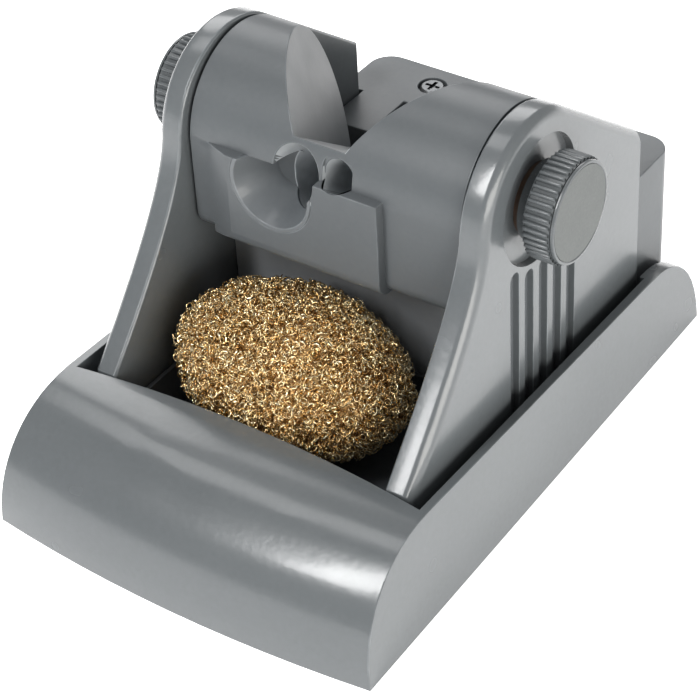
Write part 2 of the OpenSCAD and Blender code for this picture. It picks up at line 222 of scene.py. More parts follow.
# %% [markdown]
# ## Grey enamel
# The castings wear a stoved slate-grey enamel. It is not flat: the coat pools a
# little, so its tone drifts over a few centimetres, it holds a fine pigment
# grain, and its skin has the shallow waves that painters call orange peel.
# Those waves are what break up the edge of a reflected lamp. The rounded edges,
# which we mark with an attribute named edge when we make them, get a lighter
# tone: a painted highlight along each edge. The faces inside the bores get a
# lighter grey, painted light that stands in for the light reaching into them.
# The base and cheeks are glossier than the cradle, so the finish is a function.

# %% Enamel
def enamel(name, dark, light, shine, peel, gloss=0.5):
    """Enamel between two tones, with its range of roughness and the height of its peel."""
    material, tree, shader = new_finish(
        name, Specular_IOR_Level=gloss, Coat_Weight=gloss - 0.25, Coat_Roughness=0.12)
    body = tones(tree, noise_of(tree, 0.06, 1.0), (0.32, dark), (0.68, light))
    grain = tones(tree, noise_of(tree, 0.0016, 2.0),
                  (0.3, [c * 0.97 for c in dark]), (0.7, [c * 1.03 for c in light]))
    share = between(tree, noise_of(tree, 0.004, 1.0), 0.0, 0.6, 0.0, 1.0)
    coat = lay_over(tree, share, body, grain)
    # Painted highlight: a lighter tone, up to 1.75 times the light one, on the bevel faces
    # marked edge.
    painted_edge_highlight = tones(tree, noise_of(tree, 0.006, 2.0),
                      (0.35, light), (0.7, [min(1.0, c * 1.75) for c in light]))
    on_edges = between(tree, attribute_of(tree, "edge"), 0.0, 0.55, 0.0, 1.0)
    painted = lay_over(tree, on_edges, coat, painted_edge_highlight)
    # Painted light: a grey much lighter than the enamel on the faces inside the bores,
    # standing in for the light that reaches into them.
    bore_light_tone = tones(tree, noise_of(tree, 0.003, 2.0),
                  (0.3, (0.32, 0.34, 0.355)), (0.7, (0.37, 0.39, 0.405)))
    tree.links.new(lay_over(tree, attribute_of(tree, "painted_bore_light"), painted, bore_light_tone),
                   shader.inputs["Base Color"])
    tree.links.new(between(tree, noise_of(tree, 0.011, 1.0), *shine, 0.0, 1.0),
                   shader.inputs["Roughness"])
    relief(tree, shader, noise_of(tree, 0.0020, 1.0), peel)
    return material


# %% Enamels
SLATE = ((0.094, 0.103, 0.109), (0.104, 0.114, 0.120))
GLOSSY_ENAMEL = enamel("glossy_enamel", *SLATE, (0.20, 0.30), 0.000035)
SATIN_ENAMEL = enamel("satin_enamel", (0.086, 0.094, 0.100), (0.096, 0.105, 0.111),
                      (0.30, 0.44), 0.000015, 0.28)
DEEP_ENAMEL = enamel("deep_enamel", (0.066, 0.071, 0.077), (0.074, 0.080, 0.086),
                     (0.34, 0.44), 0.00003)
# The splash shield's grey is about twice as light as the castings': painted light, standing
# in for the light that reaches it down in the well.
SHIELD_PAINTED_LIGHT_ENAMEL = enamel("shield_painted_light_enamel", (0.21, 0.22, 0.23), (0.23, 0.24, 0.25),
                      (0.34, 0.44), 0.00002)
LINER_ENAMEL = enamel("liner_enamel", (0.100, 0.110, 0.118), (0.112, 0.122, 0.130),
                      (0.42, 0.52), 0.00002)
print("enamels:", [m.name for m in bpy.data.materials])

# %% [markdown]
# ## Metals, rubber and mouldings
# Turned and plated metal shows fine lines along the way that it was worked,
# which is a noise stretched a long way in one direction. Cast iron is rough and
# pitted. Rubber has a dull bloom. The knobs are a moulded plastic with a fine
# spark-eroded skin and the grey of the castings. Fibre washers show flecks.

# %% Worked and moulded finishes
def worked_metal(name, dark, light, stretch, rough, lines):
    """Metal with lines across the stretched direction, of the height lines."""
    material, tree, shader = new_finish(name, Metallic=1.0)
    streak = noise_of(tree, 0.0012, 3.0, stretch)
    color = tones(tree, streak, (0.3, dark), (0.7, light))
    cloud = tones(tree, noise_of(tree, 0.008, 2.0), (0.3, dark), (0.75, light))
    share = between(tree, noise_of(tree, 0.003, 1.0), 0.2, 0.6)
    tree.links.new(lay_over(tree, share, color, cloud), shader.inputs["Base Color"])
    tree.links.new(between(tree, streak, *rough), shader.inputs["Roughness"])
    relief(tree, shader, streak, lines)
    return material


def moulded(name, dark, light, rough, grain, skin):
    """Plastic, rubber or fibre with flecks of size grain and a skin of height skin."""
    material, tree, shader = new_finish(name, Specular_IOR_Level=0.45)
    fleck = noise_of(tree, grain, 2.0)
    color = tones(tree, noise_of(tree, 0.006, 3.0), (0.3, dark), (0.7, light))
    spots = tones(tree, fleck, (0.35, dark), (0.72, light))
    share = between(tree, fleck, 0.1, 0.5)
    tree.links.new(lay_over(tree, share, color, spots), shader.inputs["Base Color"])
    tree.links.new(between(tree, fleck, *rough), shader.inputs["Roughness"])
    relief(tree, shader, fleck, skin)
    return material


# %% Metals, rubber and plastics
ZINC = worked_metal("zinc_plate", (0.50, 0.51, 0.52), (0.66, 0.67, 0.69),
                    (1, 12, 1), (0.25, 0.42), 0.000015)
SCREW_STEEL = worked_metal("screw_steel", (0.07, 0.073, 0.076), (0.15, 0.154, 0.158),
                           (8, 1, 1), (0.24, 0.38), 0.00001)
TURNED_BRASS = worked_metal("turned_brass", (0.62, 0.43, 0.16), (0.80, 0.60, 0.27),
                            (14, 1, 1), (0.20, 0.34), 0.00001)
CAST_IRON = worked_metal("cast_iron", (0.10, 0.10, 0.105), (0.20, 0.20, 0.20),
                         (1, 1, 1), (0.55, 0.75), 0.00012)
RUBBER = moulded("foot_rubber", (0.012, 0.012, 0.013), (0.028, 0.028, 0.030),
                 (0.62, 0.80), 0.0006, 0.00004)
FIBRE = moulded("washer_fibre", (0.03, 0.018, 0.012), (0.09, 0.05, 0.03),
                (0.70, 0.88), 0.0008, 0.00004)
KNOB_PLASTIC = moulded("knob_plastic", (0.085, 0.093, 0.098), (0.098, 0.107, 0.112),
                       (0.18, 0.28), 0.0005, 0.000015)
CAP_PLASTIC = moulded("cap_plastic", (0.086, 0.094, 0.092), (0.096, 0.104, 0.102),
                      (0.46, 0.58), 0.0006, 0.00001)
print("finishes in all:", len(bpy.data.materials))

# %% [markdown]
# ## Dressing the pieces that keep their CAD shape
# A washer, a bush or a bottom plate has its true shape already. It only needs
# its finish, given by name to the slots of its own object. The list also says
# which finish goes where, which is handy when a shop asks for another colour.

# %% Finish of each carried-over node
CARRIED = {
    "base_plate": ZINC, "rubber_feet": RUBBER, "ballast_block": CAST_IRON,
    "end_discs": ZINC, "clamp_studs": SCREW_STEEL,
    "left_bush": TURNED_BRASS, "right_bush": TURNED_BRASS,
    "friction_washers": FIBRE,
    "left_knob_insert": TURNED_BRASS, "right_knob_insert": TURNED_BRASS,
    "left_knob_cap": CAP_PLASTIC, "right_knob_cap": CAP_PLASTIC,
}


def set_finish(thing, material):
    """The object wears this one finish."""
    thing.data.materials.clear()
    thing.data.materials.append(material)


for node, material in CARRIED.items():
    set_finish(frame["nodes"][node], material)
print("carried over:", len(CARRIED))

# %% [markdown]
# ## Softening the castings
# A casting never has a knife edge: the mould has a radius and the enamel adds
# its own. The CAD solids are sharp, and their meshes are loose triangles. A
# remesh would soften them, but it would also eat the thin flutes and rims. So
# each casting is copied, its triangles are joined, flat areas are dissolved to
# single faces, and a Bevel modifier rounds the outer edges that turn more than
# a set angle, which we give a bevel weight. Inner corners stay crisp. Weighted
# normals then keep the flat faces flat under a smooth shade. The copy stands in
# for its node and rides on the same body.

# %% Helpers for pieces
def keep(piece, body, slot, *nodes):
    """The piece rides on a body and stands for CAD nodes; the slot argument is not used."""
    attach(piece, body)
    if nodes:
        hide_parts(*nodes)
    tris = sum(len(p.vertices) - 2 for p in piece.data.polygons)
    print(f"{piece.name}: {tris} triangles on {body}")


def new_piece(name, mesh):
    """An object for the mesh, at the origin."""
    piece = bpy.data.objects.new(name, mesh)
    scene.collection.objects.link(piece)
    return piece


def settle(piece):
    """Turns the piece and its modifiers into one plain mesh."""
    bpy.context.view_layer.update()
    graph = bpy.context.evaluated_depsgraph_get()
    plain = bpy.data.meshes.new_from_object(piece.evaluated_get(graph))
    piece.modifiers.clear()
    old = piece.data
    piece.data = plain
    bpy.data.meshes.remove(old)
    return piece


print("helpers for pieces ready")


# %% [markdown]
# Two attributes tell the enamel about each face. The Bevel modifier gives its
# own faces a second material number, so they can be found after it has run.

# %% Marks on faces
def mark_faces(mesh, painted_bore_light):
    """Attribute edge is 1 on each bevel face; bare is 1 where bare(centre) is true."""
    count = len(mesh.polygons)
    slots = np.zeros(count, np.int32)
    mesh.polygons.foreach_get("material_index", slots)
    layer = mesh.attributes.new("edge", "FLOAT", "FACE")
    layer.data.foreach_set("value", (slots > 0).astype(np.float32))
    mesh.polygons.foreach_set("material_index", np.zeros(count, np.int32))
    layer = mesh.attributes.new("painted_bore_light", "FLOAT", "FACE")
    layer.data.foreach_set("value", [
        float(painted_bore_light is not None and painted_bore_light(p.center)) for p in mesh.polygons])


# %% [markdown]
# A long thin flat face can come out of its triangulation with a few triangles
# folded back over their neighbours. A fold is an edge that turns by half a
# circle, which no real edge does. Dissolving such edges again and again takes
# the folds away, and leaves the true outline.

# %% Joined copy of a CAD mesh
JOIN = 0.004 * MM
FLAT = math.radians(0.8)
OUTER_EDGE = math.radians(34.0)
FOLD = math.radians(179.0)


def joined_mesh(node, name):
    """A CAD node's mesh, joined and with flats dissolved, its outer edges weighted."""
    mesh = frame["nodes"][node].data.copy()
    mesh.name = name
    bm = bmesh.new()
    bm.from_mesh(mesh)
    bmesh.ops.remove_doubles(bm, verts=bm.verts, dist=JOIN)
    for _ in range(12):
        bm.normal_update()
        folds = [e for e in bm.edges
                 if len(e.link_faces) == 2 and e.calc_face_angle(0.0) > FOLD]
        bmesh.ops.dissolve_edges(bm, edges=folds, use_verts=False)
    bmesh.ops.dissolve_limit(bm, angle_limit=FLAT, verts=bm.verts, edges=bm.edges)
    weight = bm.edges.layers.float.new("bevel_weight_edge")
    for e in bm.edges:
        if len(e.link_faces) == 2 and e.calc_face_angle_signed(0.0) > OUTER_EDGE:
            e[weight] = 1.0
    bm.to_mesh(mesh)
    bm.free()
    if "custom_normal" in mesh.attributes:
        mesh.attributes.remove(mesh.attributes["custom_normal"])
    return mesh


# %% Softened casting
def soften(node, name, material, slot, width, painted_bore_light=None):
    """A casting with rounded edges, width in millimetres, in place of its CAD node."""
    piece = new_piece(name, joined_mesh(node, name))
    set_finish(piece, material)
    piece.data.materials.append(material)
    bevel = piece.modifiers.new("rounded_edges", "BEVEL")
    bevel.limit_method = "WEIGHT"
    bevel.width = width * MM
    bevel.segments = 2
    bevel.material = 1
    bevel.use_clamp_overlap = False
    bevel.loop_slide = False
    settle(piece)
    mark_faces(piece.data, painted_bore_light)
    set_finish(piece, material)
    piece.data.shade_smooth()
    piece.data.set_sharp_from_angle(angle=math.radians(36.0))
    weighted = piece.modifiers.new("flat_faces_stay_flat", "WEIGHTED_NORMAL")
    weighted.keep_sharp = True
    settle(piece)
    keep(piece, frame["nodes"][node]["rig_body"], slot, node)


# %% [markdown]
# ## Base, cheeks and housing
# These four carry the look of the whole stand. The base and cheeks are poured
# and painted together, so they share the glossy coat and a small radius. The
# housing is a plainer box with a larger radius and a duller coat.

# %% Base, cheeks and housing
soften("base_tray", "base_casting", GLOSSY_ENAMEL, "grey_enamel", 0.35)
soften("left_cheek", "left_cheek_casting", GLOSSY_ENAMEL, "grey_enamel", 0.25)
soften("right_cheek", "right_cheek_casting", GLOSSY_ENAMEL, "grey_enamel", 0.25)
soften("rear_housing", "rear_housing_shell", SATIN_ENAMEL, "grey_enamel", 0.5)

# %% [markdown]
# ## Cradle with its bores
# The drum that holds the iron is a casting too. Its bore and the pocket beside
# it get a lighter grey, painted light that stands in for the light reaching into
# them. A second material slot would do, but their faces would need picking out
# anyway, so a test on the centre of each face is enough: near the line of the
# bore, or inside the box of the pocket.

# %% Faces of the bores
BORE_MOUTH = Vector((-0.0076, -0.0136, 0.0874))
BORE_DIP = math.radians(37.0)
BORE_LINE = Vector((0.0, math.cos(BORE_DIP), -math.sin(BORE_DIP)))
BORE_REACH = 0.0095
POCKET_LOW = (0.0001, -0.0105, 0.062)
POCKET_HIGH = (0.0095, 0.020, 0.096)


def in_the_bores(p):
    """True on the walls of the iron's bore and of the arched pocket beside it."""
    depth = (p - BORE_MOUTH).dot(BORE_LINE)
    off = (p - BORE_MOUTH - BORE_LINE * depth).length
    in_pocket = all(a < c < b for a, c, b in zip(POCKET_LOW, p, POCKET_HIGH))
    return (off < BORE_REACH and depth > 0.002) or in_pocket


# %% Cradle, liner, shield and tray
# The bores of the cradle get the painted light of the enamel.
soften("cradle_drum", "cradle_casting", SATIN_ENAMEL, "grey_enamel", 0.3, in_the_bores)
soften("socket_liner", "socket_liner_ring", LINER_ENAMEL, "liner_grey", 0.2)
# The splash shield wears the lighter grey, painted light for the well.
soften("splash_shield", "splash_shield_sheet", SHIELD_PAINTED_LIGHT_ENAMEL, "shield_grey", 0.25)
soften("wool_tray", "wool_tray_pan", DEEP_ENAMEL, "shield_grey", 0.25)

# %% [markdown]
# ## A kit for Geometry Nodes
# Screws, knurls and shavings repeat, so each is a small tree of nodes with named
# inputs for its sizes. A tree could be clicked together by hand; written down,
# it can be read and changed. The helpers below add nodes, join sockets, make
# the inputs and run a tree once, which leaves a plain mesh and no modifier.

# %% Geometry Nodes helpers
def new_tree(name, **inputs):
    """A node group with one geometry input, number inputs and one geometry output."""
    tree = bpy.data.node_groups.new(name, "GeometryNodeTree")
    face = tree.interface
    face.new_socket("Geometry", in_out="INPUT", socket_type="NodeSocketGeometry")
    for label, kind in inputs.items():
        face.new_socket(label, in_out="INPUT", socket_type="NodeSocket" + kind)
    face.new_socket("Geometry", in_out="OUTPUT", socket_type="NodeSocketGeometry")
    given = tree.nodes.new("NodeGroupInput")
    result = tree.nodes.new("NodeGroupOutput")
    return tree, given.outputs, result.inputs[0]


def add(tree, kind, sockets=(), **settings):
    """A node with its settings, and its inputs by (name or number, value or socket)."""
    node = tree.nodes.new(kind)
    for key, value in settings.items():
        setattr(node, key, value)
    for key, value in sockets:
        if isinstance(value, bpy.types.NodeSocket):
            tree.links.new(value, node.inputs[key])
        else:
            node.inputs[key].default_value = value
    return node


# %% Sums, vectors and moves
def math_of(tree, operation, a, b=0.0):
    """One sum on numbers or sockets."""
    return add(tree, "ShaderNodeMath", [(0, a), (1, b)], operation=operation).outputs[0]


def times(tree, a, b):
    """The product of two numbers or sockets."""
    return math_of(tree, "MULTIPLY", a, b)


def vector_of(tree, x=0.0, y=0.0, z=0.0):
    """A vector from numbers or sockets."""
    return add(tree, "ShaderNodeCombineXYZ", [(0, x), (1, y), (2, z)]).outputs[0]


def moved(tree, geometry, kind, vector):
    """The geometry after a Transform: kind is Translation, Rotation or Scale."""
    return add(tree, "GeometryNodeTransform", [(0, geometry), (kind, vector)]).outputs[0]


# %% Ending and running a tree
def end_tree(tree, geometry, material, result):
    """Realize Instances, then Set Material, then out."""
    real = add(tree, "GeometryNodeRealizeInstances", [(0, geometry)])
    painted = add(tree, "GeometryNodeSetMaterial", [(0, real.outputs[0]),
                                                    ("Material", material)])
    tree.links.new(painted.outputs[0], result)


def grow(name, tree, points, **values):
    """Runs a tree on loose points and keeps the plain mesh that it makes."""
    mesh = bpy.data.meshes.new(name)
    mesh.from_pydata([tuple(p) for p in points], [], [])
    piece = new_piece(name, mesh)
    modifier = piece.modifiers.new(name, "NODES")
    modifier.node_group = tree
    for item in tree.interface.items_tree:
        if item.item_type == "SOCKET" and item.in_out == "INPUT" and item.name in values:
            modifier[item.identifier] = values[item.name]
    return settle(piece)


print("node helpers ready")

# %% [markdown]
# ## Cross-head screws
# The stand is held together by machine screws with a cross recess. Each could
# be modelled by hand, but there are several kinds that differ only in size. So
# one tree makes a screw: a head, a chamfer on its rim, a shank, and two crossed
# bars taken out with a Mesh Boolean. It is placed on each point that it is
# given. A sign turns the screws that face down.

# %% Screw tree
def screw_tree(name, material):
    """Screws with their crowns on the points, facing up for 1 and down for -1."""
    tree, given, result = new_tree(
        name, **{"Head radius": "Float", "Head height": "Float", "Shank radius": "Float",
                 "Shank length": "Float", "Recess width": "Float", "Facing": "Float"})
    radius, height = given["Head radius"], given["Head height"]
    length = given["Shank length"]
    rim = times(tree, height, 0.35)
    head = add(tree, "GeometryNodeMeshCylinder",
               [("Vertices", 32), ("Radius", radius), ("Depth", height)]).outputs[0]
    crown = add(tree, "GeometryNodeMeshCone", [
        ("Vertices", 32), ("Radius Bottom", radius),
        ("Radius Top", times(tree, radius, 0.84)), ("Depth", rim)]).outputs[0]
    shank = add(tree, "GeometryNodeMeshCylinder", [
        ("Vertices", 24), ("Radius", given["Shank radius"]), ("Depth", length)]).outputs[0]
    head = moved(tree, head, "Translation", vector_of(tree, z=times(tree, height, -0.5)))
    shank_z = math_of(tree, "SUBTRACT", times(tree, length, -0.5), rim)
    whole = add(tree, "GeometryNodeMeshBoolean", operation="UNION")
    for part, z in ((head, rim), (crown, rim), (shank, shank_z)):
        placed = moved(tree, part, "Translation", vector_of(tree, z=z))
        tree.links.new(placed, whole.inputs["Mesh 2"])
    lowered = moved(tree, whole.outputs[0], "Translation",
                    vector_of(tree, z=times(tree, rim, -2.0)))
    bar, slit = times(tree, radius, 1.25), given["Recess width"]
    screw = add(tree, "GeometryNodeMeshBoolean", [(0, lowered)],
                operation="DIFFERENCE")
    for across, along in ((bar, slit), (slit, bar)):
        size = vector_of(tree, across, along, height)
        cut = add(tree, "GeometryNodeMeshCube", [("Size", size)]).outputs[0]
        tree.links.new(cut, screw.inputs["Mesh 2"])
    half_turns = math_of(tree, "SUBTRACT", 1.0, given["Facing"])
    put = add(tree, "GeometryNodeInstanceOnPoints", [
        ("Points", given["Geometry"]), ("Instance", screw.outputs[0]),
        ("Rotation", vector_of(tree, x=times(tree, half_turns, math.pi / 2)))])
    end_tree(tree, put.outputs[0], material, result)
    return tree


SCREW_TREE = screw_tree("cross_head_screw", SCREW_STEEL)
print("screw tree:", len(SCREW_TREE.nodes), "nodes")

# %% [markdown]
# The places are read from the CAD node, one for each loose solid in it, so the
# screws can't miss their holes. A walk along the edges finds the solids.

# %% Loose solids in a node
def loose_solids(node):
    """The lowest and highest corner of each separate solid in a CAD node."""
    bm = bmesh.new()
    bm.from_mesh(frame["nodes"][node].data)
    bmesh.ops.remove_doubles(bm, verts=bm.verts, dist=JOIN)
    unseen = set(bm.verts)
    boxes = []
    while unseen:
        queue = [unseen.pop()]
        found = []
        while queue:
            v = queue.pop()
            found.append(v.co.copy())
            for e in v.link_edges:
                w = e.other_vert(v)
                if w in unseen:
                    unseen.discard(w)
                    queue.append(w)
        co = np.array(found)
        boxes.append((Vector(co.min(0)), Vector(co.max(0))))
    bm.free()
    return sorted(boxes, key=lambda b: (round(b[0].x, 4), round(b[0].y, 4)))


# %% Screws on their places
def screws(node, name, facing, head_height, shank_radius, recess):
    """The screws of one CAD node, their sizes in millimetres."""
    boxes = loose_solids(node)
    low, high = boxes[0]
    tops = [Vector(((a.x + b.x) / 2, (a.y + b.y) / 2, b.z if facing > 0 else a.z))
            for a, b in boxes]
    piece = grow(name, SCREW_TREE, tops, **{
        "Head radius": (high.x - low.x) / 2, "Head height": head_height * MM,
        "Shank radius": shank_radius * MM,
        "Shank length": high.z - low.z - head_height * MM,
        "Recess width": recess * MM, "Facing": float(facing)})
    piece.data.set_sharp_from_angle(angle=math.radians(30.0))
    keep(piece, frame["nodes"][node]["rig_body"], "screw_steel", node)


screws("housing_screws", "housing_screw_pair", 1, 1.5, 1.5, 1.1)
screws("shield_screws", "shield_screw_pair", 1, 1.8, 1.5, 0.7)
screws("base_screws", "bottom_plate_screws", -1, 1.3, 1.5, 0.7)
screws("floor_screws", "casting_screws", -1, 1.5, 2.0, 0.8)

# %% [markdown]
# ## Knurled clamp knobs
# Each cheek has a knob that clamps the cradle. It is a moulded wheel with a
# straight knurl: ridges with round backs, all the way round, stopping short of
# a plain rim. The wheel itself is a turned shape, so its profile is spun round
# the tilt axis with a helper. The ridges could be spun too, with a wavy ring,
# but then their ends would be cut off square. So they are a tree: a ring of
# points, one bar on each, turned to point outwards. A bar is a ball pulled into
# a blunt rod by raising its coordinates to a power, and the number of ridges is
# one of the inputs.

# %% Spun shapes
def spin_about_x(name, profile, centre, material, steps=96):
    """Spins a closed loop of (x, radius) points about the line along X through centre."""
    bm = bmesh.new()
    rings = []
    for x, radius in profile:
        ring = []
        for k in range(steps):
            a = math.tau * k / steps
            ring.append(bm.verts.new((x, centre.y + radius * math.cos(a),
                                      centre.z + radius * math.sin(a))))
        rings.append(ring)
    for one, two in zip(rings, rings[1:]):
        for k in range(steps):
            m = (k + 1) % steps
            bm.faces.new((one[k], one[m], two[m], two[k]))
    bmesh.ops.recalc_face_normals(bm, faces=bm.faces)
    mesh = bpy.data.meshes.new(name)
    bm.to_mesh(mesh)
    bm.free()
    piece = new_piece(name, mesh)
    set_finish(piece, material)
    mesh.shade_smooth()
    mesh.set_sharp_from_angle(angle=math.radians(35.0))
    return piece


def close_loop(mesh):
    """Joins the last ring of a spun loop to the first, which it lies on."""
    bm = bmesh.new()
    bm.from_mesh(mesh)
    bmesh.ops.remove_doubles(bm, verts=bm.verts, dist=0.001 * MM)
    bmesh.ops.recalc_face_normals(bm, faces=bm.faces)
    bm.to_mesh(mesh)
    bm.free()


def inner_edge(x, radius, r, steps=4):
    """Points round the inner edge of a wheel, from its crest down to its side.

    The profile below comes from the side, so the skin folds over by r here.
    """
    turns = [math.pi / 2 * k / steps for k in range(steps + 1)]
    return [(x + r * (1 - math.sin(a)), radius - r * (1 - math.cos(a))) for a in turns]


# %% Knurl tree
def knurl_tree(name, material):
    tree, given, result = new_tree(
        name, **{"Ridges": "Int", "Ring radius": "Float", "Ridge width": "Float",
                 "Ridge height": "Float", "Ridge length": "Float"})
    ring = add(tree, "GeometryNodeMeshCircle", [("Vertices", given["Ridges"]),
                                                ("Radius", given["Ring radius"])])
    ball = add(tree, "GeometryNodeMeshUVSphere", [("Segments", 10), ("Rings", 8),
                                                  ("Radius", 1.0)])
    spot = add(tree, "GeometryNodeInputPosition").outputs[0]
    x, y, z = add(tree, "ShaderNodeSeparateXYZ", [(0, spot)]).outputs
    blunt = times(tree, math_of(tree, "SIGN", z),
                  math_of(tree, "POWER", math_of(tree, "ABSOLUTE", z), 0.35))
    plan = add(tree, "ShaderNodeVectorMath", [(0, vector_of(tree, x, y))],
               operation="LENGTH").outputs["Value"]
    wide = math_of(tree, "POWER", plan, -0.7)
    rod = add(tree, "GeometryNodeSetPosition", [
        (0, ball.outputs[0]),
        ("Position", vector_of(tree, times(tree, x, wide), times(tree, y, wide), blunt))])
    ridge = moved(tree, rod.outputs[0], "Scale", vector_of(
        tree, given["Ridge height"], times(tree, given["Ridge width"], 0.5),
        times(tree, given["Ridge length"], 0.5)))
    outward = add(tree, "FunctionNodeAlignRotationToVector", [("Vector", spot)],
                  axis="X", pivot_axis="Z")
    crown = add(tree, "GeometryNodeInstanceOnPoints", [
        ("Points", ring.outputs[0]), ("Instance", ridge), ("Rotation", outward.outputs[0])])
    lying = moved(tree, crown.outputs[0], "Rotation", (0.0, math.pi / 2, 0.0))
    put = add(tree, "GeometryNodeInstanceOnPoints", [
        ("Points", given["Geometry"]), ("Instance", lying)])
    end_tree(tree, put.outputs[0], material, result)
    return tree


KNURL_TREE = knurl_tree("knob_knurl", KNOB_PLASTIC)
print("knurl tree:", len(KNURL_TREE.nodes), "nodes")

# %% Clamp knobs
RIDGES = 46
RIDGE_HEIGHT = 0.78 * MM
RIDGE_SHARE = 0.60
INSERT_RADIUS = 6.55 * MM
HUB_RADIUS = 10.8 * MM
HUB_LENGTH = 3.1 * MM
PLAIN_BACK = 0.25 * MM
PLAIN_FRONT = 1.25 * MM


def clamp_knob(which, sx):
    """The wheel and the knurl of one knob, sx being 1 on the right and -1 on the left."""
    low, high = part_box(which + "_knob")
    cap_low, cap_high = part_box(which + "_knob_cap")
    centre = (low + high) / 2
    outer = (high.z - low.z) / 2
    face = high.x if sx > 0 else -low.x
    hub = low.x if sx > 0 else -high.x
    cap_back = cap_low.x if sx > 0 else -cap_high.x
    cap_r = (cap_high.z - cap_low.z) / 2
    core = outer - RIDGE_HEIGHT
    wheel = hub + HUB_LENGTH
    rim = outer - 0.7 * MM
    seat, seat_r = cap_back - 0.05 * MM, cap_r + 0.05 * MM
    profile = [(hub, INSERT_RADIUS), (hub, HUB_RADIUS), (wheel, HUB_RADIUS)]
    profile += inner_edge(wheel, core, 0.4 * MM)
    profile += [(face - 1.15 * MM, core), (face - 1.1 * MM, core - 0.45 * MM),
                (face - 0.85 * MM, core - 0.45 * MM), (face - 0.8 * MM, rim),
                (face - 0.35 * MM, rim), (face - 0.1 * MM, rim - 0.1 * MM),
                (face, rim - 0.4 * MM), (face, cap_r + 0.3 * MM),
                (face - 0.2 * MM, seat_r), (seat, seat_r),
                (seat, INSERT_RADIUS), (hub, INSERT_RADIUS)]
    body = spin_about_x(which + "_knob_wheel", [(sx * x, r) for x, r in profile], centre,
                        KNOB_PLASTIC)
    close_loop(body.data)
    keep(body, which + "_knob", "knob_plastic", which + "_knob")
    length = face - PLAIN_FRONT - wheel - PLAIN_BACK
    middle = sx * (wheel + PLAIN_BACK + length / 2)
    knurl = grow(which + "_knob_knurl", KNURL_TREE, [(middle, centre.y, centre.z)], **{
        "Ridges": RIDGES, "Ring radius": core,
        "Ridge width": math.tau * core / RIDGES * RIDGE_SHARE,
        "Ridge height": RIDGE_HEIGHT, "Ridge length": length})
    knurl.data.shade_smooth()
    keep(knurl, which + "_knob", "knob_plastic")


clamp_knob("right", 1)
clamp_knob("left", -1)

# %% [markdown]
# ## Brass shavings
# The cleaner is a loose ball of thin curled brass ribbon. It could be one long
# curve, but nobody can follow it, and what the eye reads is thousands of small
# bright loops with dark gaps between. So a tree takes a lumpy ellipsoid, strews
# seeded points on it and puts a short coil of flat ribbon on each, turned and
# sized at random. Four such layers lie over a core, and each coil has only a few
# dozen faces. Brass is a metal, so its colour is in its reflection. The ramp of
# the outer layers runs from a brown, painted shade for the gaps, through brass
# to a pale gold that is partly a painted highlight. The innermost layer and the
# core wear a darker copy of the brass, painted shade for the inside of the ball.

# %% Brass finish
def shaving_brass(name, stops, rough):
    """Brass in patches, from the stops of its ramp and its range of roughness."""
    material, tree, shader = new_finish(name, Metallic=1.0)
    patch = noise_of(tree, 0.0022, 4.0, rough=0.7)
    tree.links.new(tones(tree, patch, *stops), shader.inputs["Base Color"])
    tree.links.new(between(tree, noise_of(tree, 0.001, 2.0), *rough),
                   shader.inputs["Roughness"])
    relief(tree, shader, noise_of(tree, 0.0005, 2.0), 0.00005)
    return material


# Outer layers: the brown first stop is painted shade for the gaps, the pale last stop is
# partly a painted highlight.
BRIGHT_SHAVINGS = shaving_brass("bright_shavings", (
    (0.32, (0.56, 0.34, 0.13)), (0.46, (0.95, 0.70, 0.36)), (0.60, (1.0, 0.90, 0.62))),
    (0.12, 0.28))
# A darker copy of the brass: painted shade, for the innermost layer and the core.
SHADED_SHAVINGS = shaving_brass("shaded_shavings", (
    (0.30, (0.26, 0.14, 0.05)), (0.50, (0.60, 0.38, 0.16)), (0.70, (0.96, 0.72, 0.38))),
    (0.22, 0.42))
print("brass finishes ready")


